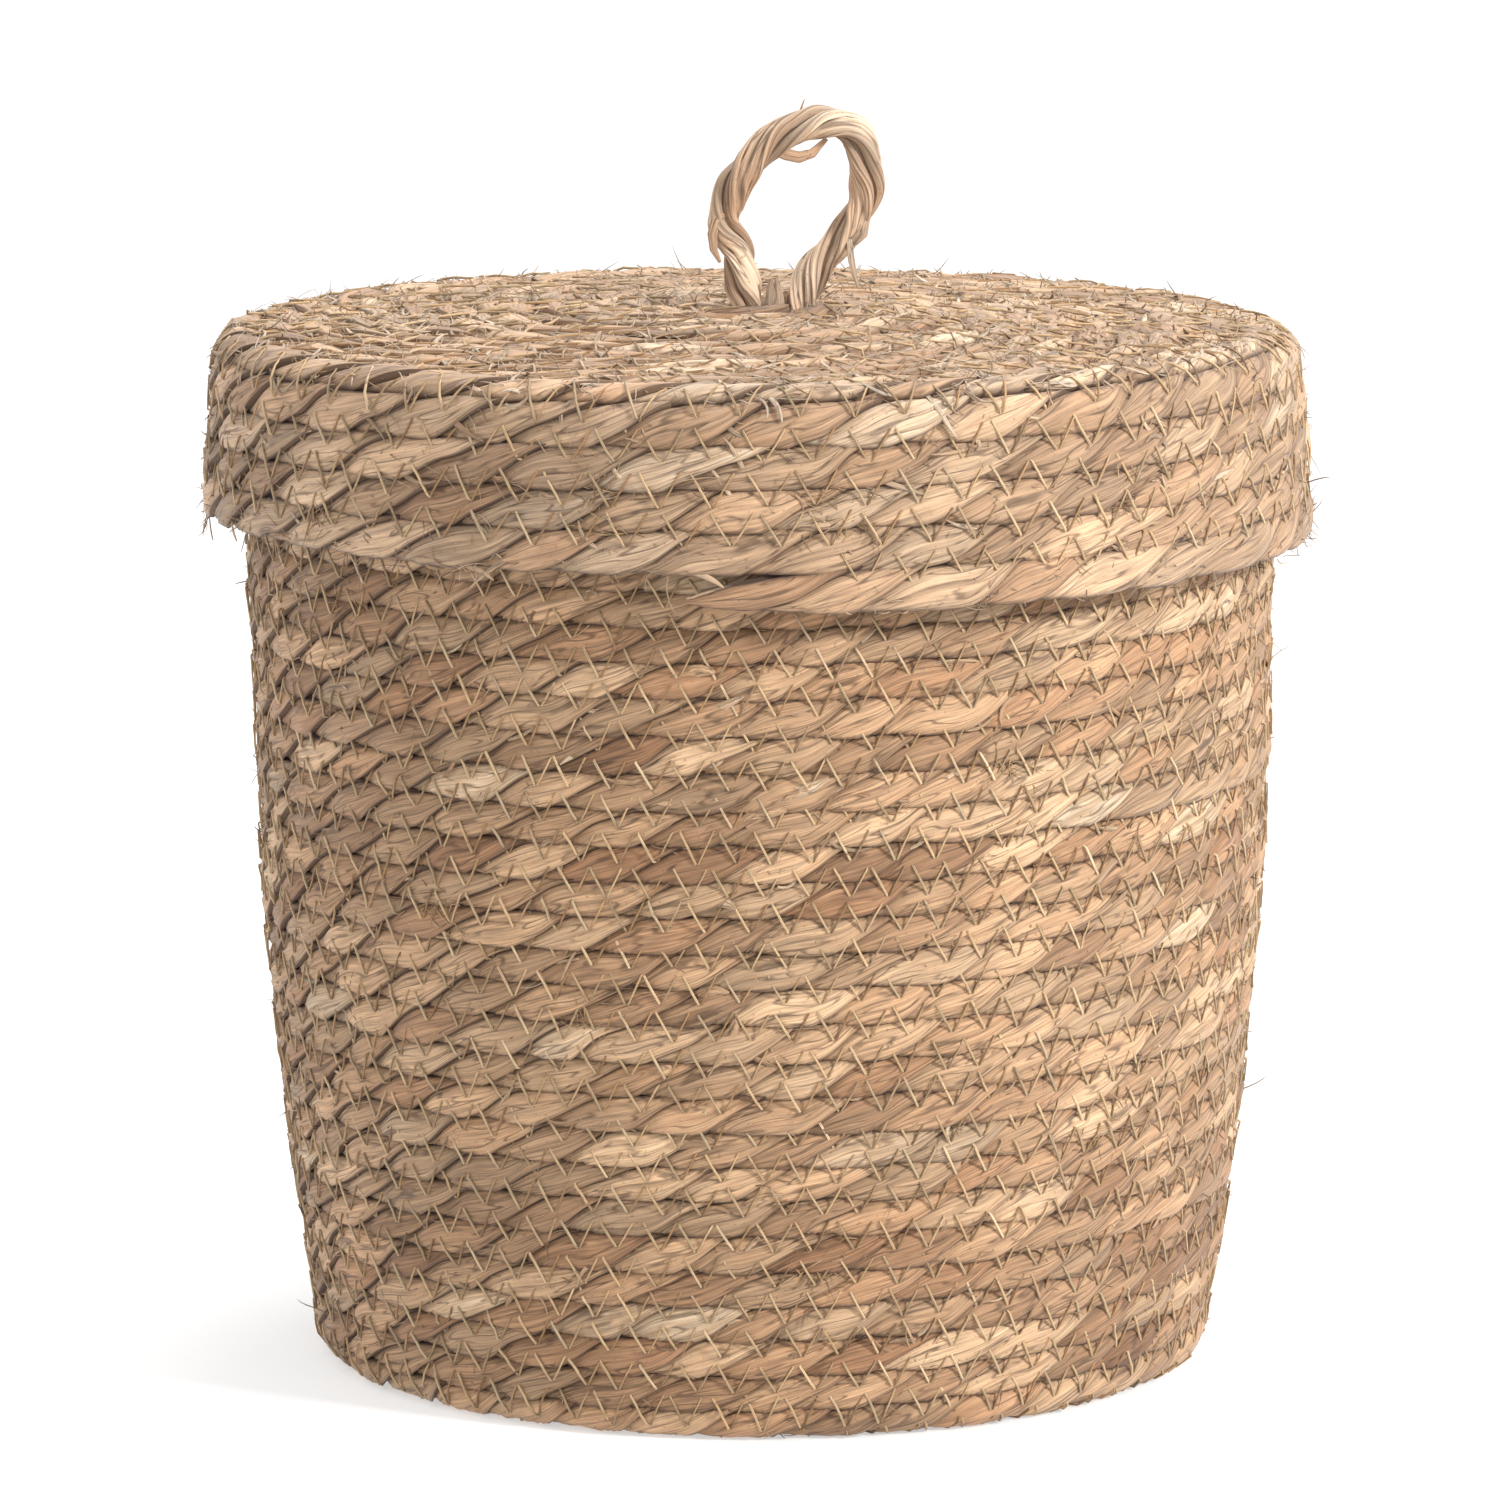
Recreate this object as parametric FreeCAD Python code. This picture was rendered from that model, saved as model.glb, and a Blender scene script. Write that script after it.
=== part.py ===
import FreeCAD, Part
import math
import os

# Lidded round basket, sewn from flat braid.  Millimetres.  Z is up, the basket
# stands on z = 0 and its axis is the Z axis.

# ---- braid, one value per real strip ----
BRAID_THICKNESS = 6.5        # flat braid, measured through the wall
BODY_BRAID_WIDTH = 13.35     # braid of the basket body
LID_BRAID_WIDTH = 14.8       # wider braid of the lid
COURSE_GAP = 0.10            # space left between neighbouring courses

# ---- basket body ----
BASE_TURNS = 12              # turns of the flat spiral floor
WALL_COURSES = 28            # upright courses above the bent corner course
FOOT_TO_RIM_FLARE = 21.5     # how much wider the rim is than the foot
BELLY_FULLNESS = 3.0         # 1 = straight cone, higher = rounder barrel

# ---- lid ----
LID_TURNS = 13               # turns of the flat spiral top, spread evenly out to its edge
LID_TOP_SETBACK = 1.05       # edge of the flat top, in from the rim's outer face
SKIRT_COURSES = 4            # courses of the skirt below the shoulder course
SKIRT_FLARE = 4.0            # how much the skirt widens below the shoulder
LID_SEAT_CLEARANCE = 0.40    # lid underside above the body rim

# ---- sewing thread ----
THREAD_DIAMETER = 1.1
THREAD_CLEARANCE = 0.06

# ---- rope handle ----
ROPE_DIAMETER = 13.0
HANDLE_RISE = 72.0           # height of the loop's centre line above its feet
HANDLE_REACH_LEFT = 19.0     # widest centre line reach each way from the feet's middle
HANDLE_REACH_RIGHT = 37.0
FEET_SPACING = 18.0          # between the two legs' centre lines
HINGE_CLEARANCE = 0.40       # rope butt above the lid
ROPE_HOLE_CLEARANCE = 0.15   # radial, where the rope passes the lid
KNOT_DROP = 14.0             # how far the knot hangs below the lid
KNOT_OVERHANG = 9.0          # how far the knot reaches past the outer leg
BUTT_LIFT = 6.0              # straight length of each leg above its foot

# ---- section details ----
GROOVE_DEPTH = 1.2           # dip between turns on the flat coils
ARC_FIT = 0.3                # how near the rope's arcs keep to its smooth curve

# ---- worked out ----
HALF_T = BRAID_THICKNESS / 2
UP = FreeCAD.Vector(0, 0, 1)
ORIGIN = FreeCAD.Vector(0, 0, 0)
BODY_PITCH = BODY_BRAID_WIDTH + COURSE_GAP
LID_PITCH = LID_BRAID_WIDTH + COURSE_GAP
ROPE_RADIUS = ROPE_DIAMETER / 2
THREAD_RADIUS = THREAD_DIAMETER / 2


def point(r, z):
    return FreeCAD.Vector(r, 0, z)


def turn(edges):
    """One solid of revolution about Z from a closed outline in the XZ half plane."""
    face = Part.Face(Part.Wire(edges))
    return face.revolve(ORIGIN, UP, 360)


def straight_section(r, z, lean, width):
    """Braid section with round edges.  r, z is its centre, lean its tilt from upright."""
    half = width / 2 - HALF_T
    along = FreeCAD.Vector(math.sin(lean), 0, math.cos(lean))
    out = FreeCAD.Vector(math.cos(lean), 0, -math.sin(lean))
    mid = point(r, z)
    top_out = mid + along * half + out * HALF_T
    top_in = mid + along * half - out * HALF_T
    low_out = mid - along * half + out * HALF_T
    low_in = mid - along * half - out * HALF_T
    top = mid + along * (half + HALF_T)
    low = mid - along * (half + HALF_T)
    return [
        Part.LineSegment(low_out, top_out).toShape(),
        Part.Arc(top_out, top, top_in).toShape(),
        Part.LineSegment(top_in, low_in).toShape(),
        Part.Arc(low_in, low, low_out).toShape(),
    ]


def bent_section(centre_r, centre_z, radius, start, end):
    """Braid section bent round a corner, with round edges, between two angles."""
    def at(angle, reach):
        a = math.radians(angle)
        return point(centre_r + reach * math.cos(a), centre_z + reach * math.sin(a))

    def cap(angle, step):
        swing = math.degrees(HALF_T / radius) * step
        return at(angle + swing, radius)

    mid = (start + end) / 2
    outer = radius + HALF_T
    inner = radius - HALF_T
    return [
        Part.Arc(at(start, outer), at(mid, outer), at(end, outer)).toShape(),
        Part.Arc(at(end, outer), cap(end, 1), at(end, inner)).toShape(),
        Part.Arc(at(end, inner), at(mid, inner), at(start, inner)).toShape(),
        Part.Arc(at(start, inner), cap(start, -1), at(start, outer)).toShape(),
    ]


def cap_angle(radius):
    """Angle that the round edge of a bent braid takes up at each end of its bend, in degrees."""
    swing = HALF_T / radius
    outer = radius + HALF_T
    inner = radius - HALF_T
    edge = Part.Circle(point(outer * math.sin(swing), -outer * math.cos(swing)), point(0, -radius),
                       point(inner * math.sin(swing), -inner * math.cos(swing)))
    swell = edge.Radius - edge.Center.x
    return math.degrees((HALF_T + swell) / radius)


def arch(outer, inner, rise):
    """Shallow arch between two points of equal height."""
    curve = Part.BezierCurve()
    curve.setPoles([outer, (outer + inner) / 2 + UP * rise * 2, inner])
    return curve.toShape()


def flat_coil(turns, width, underside):
    """Flat spiral seen as one disc: plain below, one shallow arch per turn above."""
    groove = underside + BRAID_THICKNESS - GROOVE_DEPTH
    edge = turns * width
    corner = point(edge, underside)
    edges = [Part.LineSegment(point(0, underside), corner).toShape()]
    edges.append(Part.LineSegment(corner, point(edge, groove)).toShape())
    for i in range(turns, 0, -1):
        outer = point(i * width, groove)
        inner = point((i - 1) * width, groove)
        edges.append(arch(outer, inner, GROOVE_DEPTH))
    edges.append(Part.LineSegment(point(0, groove), point(0, underside)).toShape())
    return turn(edges)


def thread_ring(r, z):
    """One ring of thread with a six-sided section."""
    around = [math.radians(60 * i) for i in range(6)]
    corners = [point(r + THREAD_RADIUS * math.cos(a), z + THREAD_RADIUS * math.sin(a)) for a in around]
    ends = corners[1:] + corners[:1]
    return turn([Part.LineSegment(a, b).toShape() for a, b in zip(corners, ends)])


def coil_thread(turns, width, underside):
    """Sewing thread lying in the grooves of a flat coil."""
    rise = THREAD_RADIUS * 1.1 + THREAD_CLEARANCE
    z = underside + BRAID_THICKNESS - GROOVE_DEPTH + rise
    return Part.makeCompound([thread_ring(i * width, z) for i in range(2, turns)])


def groove_thread(courses):
    """Sewing thread lying outside, in the groove between each two stacked courses."""
    hold = HALF_T + THREAD_RADIUS + THREAD_CLEARANCE
    rings = []
    for low, high in zip(courses[:-1], courses[1:]):
        lean = (low[2] + high[2]) / 2
        half_gap = HALF_T + COURSE_GAP / 2
        reach = math.sqrt(hold ** 2 - half_gap ** 2)
        r = (low[0] + high[0]) / 2 + reach * math.cos(lean)
        z = (low[1] + high[1]) / 2 - reach * math.sin(lean)
        rings.append(thread_ring(r, z))
    return Part.makeCompound(rings)


def wall_courses(foot_r, foot_z, count, pitch, flare, fullness):
    """Centre and lean of each stacked course along the barrel curve."""
    height = count * pitch
    places = []
    z = foot_z
    for _ in range(count):
        lean = 0
        for _ in range(3):
            mid_z = z + pitch / 2 * math.cos(lean)
            left = 1 - min(1, (mid_z - foot_z) / height)
            slope = flare * fullness * left ** (fullness - 1) / height
            lean = math.atan(slope)
        r = foot_r + flare * (1 - left ** fullness)
        places.append((r, mid_z, lean))
        z += pitch * math.cos(lean)
    return places


def rope(points, radius):
    """Round rope along a smooth curve, with a ball at each end."""
    curve = Part.BSplineCurve()
    curve.interpolate(points)
    spine = Part.Wire([arc.toShape() for arc in curve.toBiArcs(ARC_FIT)])
    start = points[0]
    direction = curve.tangent(curve.FirstParameter)[0]
    ring = Part.Wire([Part.makeCircle(radius, start, direction)])
    shape = spine.makePipeShell([ring], True, True)
    for end in (points[0], points[-1]):
        shape = shape.fuse(Part.makeSphere(radius, end))
    return shape


def save(node, shape):
    solids = [Part.Solid(s) if s.ShapeType == "Shell" else s for s in shape.Solids]
    whole = solids[0] if len(solids) == 1 else Part.makeCompound(solids)
    whole.exportStep("parts/" + node + ".step")


os.makedirs("parts", exist_ok=True)

# ---- basket body ----
base_edge = BASE_TURNS * BODY_PITCH
save("base_coil", flat_coil(BASE_TURNS, BODY_PITCH, 0))
save("base_thread", coil_thread(BASE_TURNS, BODY_PITCH, 0))

# The corner course is the floor's edge bent up: a quarter turn one braid wide.
corner_radius = BODY_BRAID_WIDTH / (math.pi / 2)
corner_r = base_edge + COURSE_GAP
corner_z = corner_radius + HALF_T
corner_cap = cap_angle(corner_radius)
corner = bent_section(corner_r, corner_z, corner_radius, -90 + corner_cap, -corner_cap)
save("wall_course_01", turn(corner))

foot_r = corner_r + corner_radius
wall = wall_courses(foot_r, corner_z + COURSE_GAP, WALL_COURSES, BODY_PITCH,
                    FOOT_TO_RIM_FLARE, BELLY_FULLNESS)
for number, (r, z, lean) in enumerate(wall, start=2):
    section = straight_section(r, z, lean, BODY_BRAID_WIDTH)
    save("wall_course_%02d" % number, turn(section))
save("wall_thread", groove_thread(wall))

last_r, last_z, last_lean = wall[-1]
rim_z = last_z + BODY_BRAID_WIDTH / 2 * math.cos(last_lean)

# ---- lid ----
lid_under = rim_z + LID_SEAT_CLEARANCE
lid_top = lid_under + BRAID_THICKNESS
lid_edge = last_r + HALF_T - LID_TOP_SETBACK
lid_turn = lid_edge / LID_TURNS
legs = [FreeCAD.Vector(x, 0, 0) for x in (-FEET_SPACING / 2, FEET_SPACING / 2)]

top_coil = flat_coil(LID_TURNS, lid_turn, lid_under)
hole_radius = ROPE_RADIUS + ROPE_HOLE_CLEARANCE
for leg in legs:
    bore = Part.makeCylinder(hole_radius, BRAID_THICKNESS * 3,
                             leg + UP * (lid_under - BRAID_THICKNESS), UP)
    top_coil = top_coil.cut(bore)
save("lid_top_coil", top_coil)
save("lid_top_thread", coil_thread(LID_TURNS, lid_turn, lid_under))

shoulder_radius = LID_BRAID_WIDTH / (math.pi / 2)
shoulder_r = lid_edge + COURSE_GAP
shoulder_z = lid_top - HALF_T - shoulder_radius
shoulder_cap = cap_angle(shoulder_radius)
shoulder = bent_section(shoulder_r, shoulder_z, shoulder_radius, shoulder_cap, 90 - shoulder_cap)
save("lid_shoulder_course", turn(shoulder))

skirt = []
z = shoulder_z - COURSE_GAP
lean = -math.atan(SKIRT_FLARE / (SKIRT_COURSES * LID_PITCH))
for number in range(1, SKIRT_COURSES + 1):
    step = number - 0.5
    r = shoulder_r + shoulder_radius + SKIRT_FLARE * step / SKIRT_COURSES
    place = (r, z - LID_PITCH * step * math.cos(lean), lean)
    skirt.append(place)
    save("lid_skirt_course_%d" % number, turn(straight_section(*place, LID_BRAID_WIDTH)))
save("lid_skirt_thread", groove_thread(skirt[::-1]))

# ---- rope handle: ends knotted under the lid, loop above it ----
knot_z = lid_under - THREAD_CLEARANCE
knot_half = KNOT_DROP / 2
knot_reach = FEET_SPACING / 2 + KNOT_OVERHANG
knot_start = FreeCAD.Vector(-knot_reach, 0, knot_z - knot_half)
knot = Part.makeCylinder(knot_half, 2 * knot_reach, knot_start, FreeCAD.Vector(1, 0, 0))
for side in (-1, 1):
    knot = knot.fuse(Part.makeSphere(knot_half, FreeCAD.Vector(side * knot_reach, 0, knot_start.z)))
for leg in legs:
    knot = knot.fuse(Part.makeCylinder(ROPE_RADIUS, lid_top - knot_start.z, leg + UP * knot_start.z, UP))
save("handle_knot", knot)

hinge_z = lid_top + HINGE_CLEARANCE + ROPE_RADIUS


def loop_point(across, up):
    return FreeCAD.Vector(across, 0, hinge_z + up * HANDLE_RISE)


left_leg, right_leg = (leg.x for leg in legs)
loop = [
    loop_point(left_leg, 0),
    loop_point(left_leg - BUTT_LIFT / 3, BUTT_LIFT * 2 / HANDLE_RISE),
    loop_point(-HANDLE_REACH_LEFT, 0.48),
    loop_point(-HANDLE_REACH_LEFT / 4, 0.80),
    loop_point(HANDLE_REACH_RIGHT / 2, 1.0),
    loop_point(HANDLE_REACH_RIGHT * 0.92, 0.88),
    loop_point(HANDLE_REACH_RIGHT, 0.60),
    loop_point(HANDLE_REACH_RIGHT * 0.7, 0.32),
    loop_point(right_leg + BUTT_LIFT / 3, BUTT_LIFT / HANDLE_RISE),
    loop_point(right_leg, 0),
]
save("handle_loop", rope(loop, ROPE_RADIUS))

print("lid edge", round(lid_edge, 3), "lid turn", round(lid_turn, 3))
print("rim", round(rim_z, 1), "lid top", round(lid_top, 1), "hinge", round(hinge_z, 2))
print("foot radius", round(foot_r + HALF_T, 1), "rim radius", round(last_r + HALF_T, 1))
print("skirt radius", round(skirt[-1][0] + HALF_T, 1), "skirt bottom", round(
    skirt[-1][1] - LID_BRAID_WIDTH / 2, 1))
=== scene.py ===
import math

import bpy
import numpy as np
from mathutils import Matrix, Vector


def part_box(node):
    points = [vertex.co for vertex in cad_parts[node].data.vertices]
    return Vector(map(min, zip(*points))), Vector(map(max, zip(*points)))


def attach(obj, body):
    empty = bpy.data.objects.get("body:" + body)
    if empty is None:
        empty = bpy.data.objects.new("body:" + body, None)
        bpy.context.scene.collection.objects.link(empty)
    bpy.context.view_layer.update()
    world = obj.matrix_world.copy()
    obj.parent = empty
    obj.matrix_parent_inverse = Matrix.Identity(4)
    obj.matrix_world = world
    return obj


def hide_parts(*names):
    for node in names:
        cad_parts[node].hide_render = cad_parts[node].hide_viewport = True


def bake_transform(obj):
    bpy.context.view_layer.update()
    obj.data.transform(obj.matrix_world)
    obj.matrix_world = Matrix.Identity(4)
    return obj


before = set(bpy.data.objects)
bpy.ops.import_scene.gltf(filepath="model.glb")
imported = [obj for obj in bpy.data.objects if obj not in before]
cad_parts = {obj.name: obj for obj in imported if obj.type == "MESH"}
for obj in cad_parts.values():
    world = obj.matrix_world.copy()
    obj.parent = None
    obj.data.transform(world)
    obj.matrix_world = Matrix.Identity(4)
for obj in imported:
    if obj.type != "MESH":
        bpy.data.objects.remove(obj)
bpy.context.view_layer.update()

# ---- sizes of the real thing, in metres ----
SEED = 11
BODY_PITCH = 0.01345          # braid width in the body, one course
LID_PITCH = 0.0149            # wider braid in the lid
BRAID_THICKNESS = 0.0065
FLOOR_TURNS = 12
WALL_COURSES = 29             # the corner and the wall
BODY_TURNS = FLOOR_TURNS + WALL_COURSES
LID_TURNS = 13
SKIRT_COURSES = 4
LID_ALL_TURNS = LID_TURNS + 1 + SKIRT_COURSES
COURSE_STEP = 0.0024          # length of one mesh step along a visible braid
HIDDEN_STEP = 0.0042
TAPER_LENGTH = 0.050          # how long a braid's last end thins out
GROUND = 0.0003               # lowest any straw reaches
TIGHTEST = 0.006              # smallest radius a coil's start is reckoned with
LEAN_TOP = 0.36               # the wall stands upright from here up
LEAN_FADE = 0.10
TAU = 2 * math.pi

rng = np.random.default_rng(SEED)
TABLE = rng.uniform(-1, 1, 8192)


def wave(x, cell, seed):
    """Smooth random curve from -1 to 1 along x, with one bump about every cell."""
    t = np.asarray(x, float) / cell + seed * 37.7
    i = np.floor(t).astype(int)
    f = t - i
    f = f * f * (3 - 2 * f)
    return TABLE[i % 8192] * (1 - f) + TABLE[(i + 1) % 8192] * f


def pick(i, seed):
    """A fixed random number from 0 to 1 for each whole number."""
    return 0.5 + 0.5 * TABLE[(np.asarray(i, int) * 73 + seed * 911) % 8192]


# ---- where each braid runs: radius, height and outward direction at a place along the profile ----
class Profile:
    """A curve in the radius-height plane that the turns of a braid are laid along."""

    def __init__(self, points, pitch, spin, start_angle):
        points = np.array(points)
        gaps = np.hypot(*np.diff(points, axis=0).T)
        self.sigma = np.concatenate([[0], np.cumsum(gaps)])
        self.points = points
        self.pitch = pitch
        self.spin = spin              # +1 if the braid runs counter-clockwise outwards
        self.start = start_angle
        self.lean = 0.0               # how far the lower part stands to one side
        self.matted = 0               # turns whose seams are filled with loose fibre and get less painted shade
        self.turns = np.linspace(-1, 45, 46 * 60)
        self.run = self.lengths(self.turns)

    def lengths(self, turns):
        """Length of braid from the first of these turns to each of them."""
        radius = np.maximum(self.at(turns * self.pitch)[0], TIGHTEST)
        return np.concatenate([[0], np.cumsum(TAU * np.diff(turns) * (radius[1:] + radius[:-1]) / 2)])

    def length_to(self, turn):
        """Length of braid from the coil's start to each turn."""
        return np.interp(turn, self.turns, self.run)

    def at(self, sigma):
        r = np.interp(sigma, self.sigma, self.points[:, 0])
        z = np.interp(sigma, self.sigma, self.points[:, 1])
        d = self.pitch * 0.25
        dr = np.interp(sigma + d, self.sigma, self.points[:, 0]) - np.interp(
            sigma - d, self.sigma, self.points[:, 0])
        dz = np.interp(sigma + d, self.sigma, self.points[:, 1]) - np.interp(
            sigma - d, self.sigma, self.points[:, 1])
        size = np.maximum(np.hypot(dr, dz), 1e-9)
        return r, z, dr / size, dz / size

    def place(self, turn, across, out, outward_sign):
        """Points in space: turn along the braid, across it and out from it."""
        sigma = turn * self.pitch + across
        r, z, dr, dz = self.at(sigma)
        wobble_n = 0.0007 * wave(turn, 0.17, 5)
        rr = r + outward_sign * dz * (out + wobble_n)
        zz = np.maximum(z - outward_sign * dr * (out + wobble_n), GROUND)
        phi = self.start + self.spin * TAU * turn
        aside = self.lean * np.clip((LEAN_TOP - zz) / LEAN_FADE, 0, 1)
        return np.stack([rr * np.cos(phi) + aside, rr * np.sin(phi), zz], -1)


def centre_of(node):
    """Radius and height of a ring node's middle line."""
    low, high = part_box(node)
    return (high.x - low.x) / 2 - BRAID_THICKNESS / 2, (low.z + high.z) / 2


def corner_points(centre_r, centre_z, radius, first, last):
    angles = np.radians(np.linspace(first, last, 12))
    return [(centre_r + radius * math.cos(a), centre_z + radius * math.sin(a)) for a in angles]


half_t = BRAID_THICKNESS / 2
wall = [centre_of("wall_course_%02d" % i) for i in range(2, WALL_COURSES + 1)]
corner_radius = BODY_PITCH / (math.pi / 2)
floor_edge = wall[0][0] - corner_radius
body_points = [(0.0, half_t)] + corner_points(
    floor_edge, half_t + corner_radius, corner_radius, -90, 0) + wall
top_r, top_z = wall[-1]
body_points.append((top_r, top_z + BODY_PITCH))
FOOT_DRAW = 0.016             # share by which the foot is drawn in
FOOT_TOP = 0.22               # height where the drawing in begins
body_points = [(r * (1 - FOOT_DRAW * max(0.0, 1 - z / FOOT_TOP)), z) for r, z in body_points]
body = Profile(body_points, BODY_PITCH, 1, math.radians(90))
body.lean = 0.0020

lid_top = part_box("lid_top_coil")[1].z
shoulder_radius = LID_PITCH / (math.pi / 2)
lid_edge = LID_TURNS * LID_PITCH
skirt = [centre_of("lid_skirt_course_%d" % i) for i in range(1, SKIRT_COURSES + 1)]
DOME = 0.008                  # how much the middle of the lid stands above its edge
DOME_SHAPE = ((0.0, 1.0), (0.05, 0.8), (0.1, 0.42), (0.15, 0.1))    # radius, and share of the dome there
lid_points = [(r, lid_top - half_t + DOME * share) for r, share in DOME_SHAPE] + corner_points(
    lid_edge, lid_top - half_t - shoulder_radius, shoulder_radius, 90, 0) + skirt
lid_points.append((skirt[-1][0] + 0.0005, skirt[-1][1] - LID_PITCH))
LID_END_ANGLE = math.radians(-97)
lid = Profile(lid_points, LID_PITCH, -1, LID_END_ANGLE + TAU * LID_ALL_TURNS)
lid.matted = LID_TURNS - 0.3


# ---- the braid: three leaves wound round one another into a flat cord ----
class Plait:
    """Flat cord whose outer face shows one row of leaves that all rise the same way."""

    def __init__(self, pitch, period, seed):
        self.pitch = pitch
        self.period = period             # length in which one leaf winds once round the cord
        self.seed = seed
        self.wide = pitch * 0.516
        self.deep = 0.0024
        self.crown = pitch * 0.138
        self.power = 2.7
        turn = np.linspace(0, TAU, 1441)
        across = self.wide * np.sign(np.sin(turn)) * np.abs(np.sin(turn)) ** (2 / self.power)
        out = self.deep * np.sign(np.cos(turn)) * np.abs(np.cos(turn)) ** (2 / self.power)
        run = np.concatenate([[0], np.cumsum(np.hypot(np.diff(across), np.diff(out)))])
        self.girth = run[-1]
        self.outline = (run / run[-1], across, out)

    def surface(self, w):
        """Point and outward direction on the cord's outline, w from 0 to 1 once round it."""
        w = np.mod(w, 1)
        at, across, out = self.outline
        a = np.interp(w, at, across)
        n = np.interp(w, at, out)
        da = np.sign(a) * np.abs(a / self.wide) ** (self.power - 1) / self.wide
        dn = np.sign(n) * np.abs(n / self.deep) ** (self.power - 1) / self.deep
        size = np.maximum(np.hypot(da, dn), 1e-9)
        return a, n, da / size, dn / size

    def edge(self, s, k):
        """Where leaf k begins round the cord at arc length s."""
        k = k % 3
        seed = self.seed + 10 * k
        w = s / self.period + k / 3
        w = w + 0.060 * wave(s, 0.045, seed) + 0.022 * wave(s, 0.012, seed + 1)
        w = w + 0.05 * wave(s, 0.35, self.seed + 7) + 0.040 * wave(s, 0.08, seed + 2)
        return w + 0.058 * np.sin(2 * TAU * w)

    def strand(self, s, k):
        """Middle and half width of leaf k round the cord, and its looks."""
        seed = self.seed + 10 * k
        low = self.edge(s, k)
        high = self.edge(s, k + 1) + (k == 2)
        middle = (low + high) / 2
        half = (high - low) / 2
        front = 0.5 + 0.5 * np.cos(TAU * middle)
        lobe = np.floor(middle + 0.5).astype(int)
        back = np.floor(middle).astype(int)
        mix = np.clip((front - 0.25) * 2, 0, 1)
        leaf = 0.5 + 0.5 * wave(s, 0.32, seed + 8)
        tint = 0.42 * (pick(lobe, seed) * mix + pick(back, seed + 3) * (1 - mix)) + 0.58 * leaf
        light = pick(lobe, seed + 5) * mix + pick(back, seed + 7) * (1 - mix)
        return middle, half, tint, light

    def height(self, v, s, k):
        """Rise of leaf k over the cord's outline: a folded leaf that laps over its neighbour's edge."""
        seed = self.seed + 10 * k
        middle = (self.edge(s, k) + self.edge(s, k + 1) + (k == 2)) / 2
        full = 0.85 + 0.35 * np.cos(2 * TAU * middle) + 0.40 * wave(s, 0.023, seed + 4)
        dome = 1 - np.abs(v + 0.12) ** 2.4 / 1.3
        lap = np.where(v < 0, 0.70 * np.abs(v) ** 1.5, -0.60 * v ** 2)
        ridge = 0.10 * np.sin(v * 9 + 3 * wave(s, 0.03, seed + 6) + seed)
        ridge = ridge + 0.07 * np.sin(v * 17 + 5 * wave(s, 0.05, seed + 7))
        fold_at = 0.75 * wave(s, 0.06, seed + 8)
        fold = -0.42 * np.exp(-((v - fold_at) / 0.10) ** 2)
        pucker = 0.10 * wave(s + 0.002 * v, 0.0045, seed + 9)
        return self.crown * (full * dome + lap + (ridge + fold + pucker) * (1 - v ** 4))


OUTER = np.array([-1.0, -0.985, -0.93, -0.80, -0.62, -0.42, -0.21, 0.0, 0.21, 0.42, 0.62, 0.80, 0.93, 1.0])
INNER = np.array([1.0, 0.4, -0.4, -1.0])
OVERLAP = 0.10                           # share of a leaf's half width tucked under its neighbour
EDGE_PRESS = 0.70                        # how much the courses flatten each other's edges


def course_drift(turn):
    """How far a course wanders up and down from its even place."""
    return 0.0010 * wave(turn, 0.11, 3) + 0.0006 * wave(turn, 0.027, 4)


def braid_rings(profile, plait, first, last, step, taper=None):
    """Rings of points for the three leaves between two turns."""
    turns = np.linspace(first, last, 400)
    length_at = profile.lengths(turns)
    count = max(8, int(round(length_at[-1] / step)))
    marks = np.linspace(0, length_at[-1], count + 1)
    turn = np.interp(marks, length_at, turns)
    r_here = np.maximum(profile.at(turn * profile.pitch)[0], TIGHTEST)
    s = profile.length_to(turn)
    flip = profile.spin
    way = s * flip
    shrink = np.ones_like(s)
    if taper is not None:
        shrink = np.clip((taper - turn) * TAU * r_here / TAPER_LENGTH, 0.03, 1) ** 0.5
    swell = (1 + 0.035 * wave(s, 0.021, plait.seed + 50)) * shrink
    drift = course_drift(turn[:, None])
    before = drift - course_drift(turn[:, None] - 1)
    after = course_drift(turn[:, None] + 1) - drift
    strands = []
    for k in range(3):
        middle, half, tint, light = plait.strand(way, k)
        v = np.concatenate([OUTER, INNER])[None, :]
        reach = v * (1 + OVERLAP * (v > 0))
        w = middle[:, None] + reach * half[:, None]
        a, n, da, dn = plait.surface(w)
        rise = plait.height(v, way[:, None], k)
        rise = rise * (1 - EDGE_PRESS * np.abs(da) ** 3)
        inside = np.arange(v.shape[1]) >= len(OUTER)
        rise = np.where(inside[None, :], -0.0011, rise)
        rise[:, 0] = -0.0003
        side = flip * ((a + da * rise) * swell[:, None] - (1 - shrink[:, None]) * plait.pitch * 0.2)
        n = (n + dn * rise) * shrink[:, None]
        # painted shade, stored per point: dark in the seams between courses, along each leaf's lower edge,
        # where it tucks under its neighbour and on the inner faces; weaker on matted turns
        seam_shade = np.clip((np.abs(a) / plait.pitch - 0.420) / 0.06, 0, 1) ** 1.3 * (0.84 + 0.16 * v ** 2)
        low_edge_shade = 0.80 * np.clip((-v - 0.88) / 0.09, 0, 1)
        tucked = np.clip((v - 0.80) / 0.10, 0, 1)
        painted_shade = np.maximum(np.maximum(low_edge_shade, tucked), seam_shade)
        painted_shade = np.where(inside[None, :], 0.6, painted_shade) * np.where(turn < profile.matted, 0.45, 1)[:, None]
        side = np.where(side > 0, side * (1 + after / plait.pitch), side * (1 + before / plait.pitch))
        rings = profile.place(turn[:, None], side + drift, n, flip)
        strands.append({"rings": rings, "s": s, "tint": tint, "light": light, "painted_shade": painted_shade})
    return strands


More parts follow.
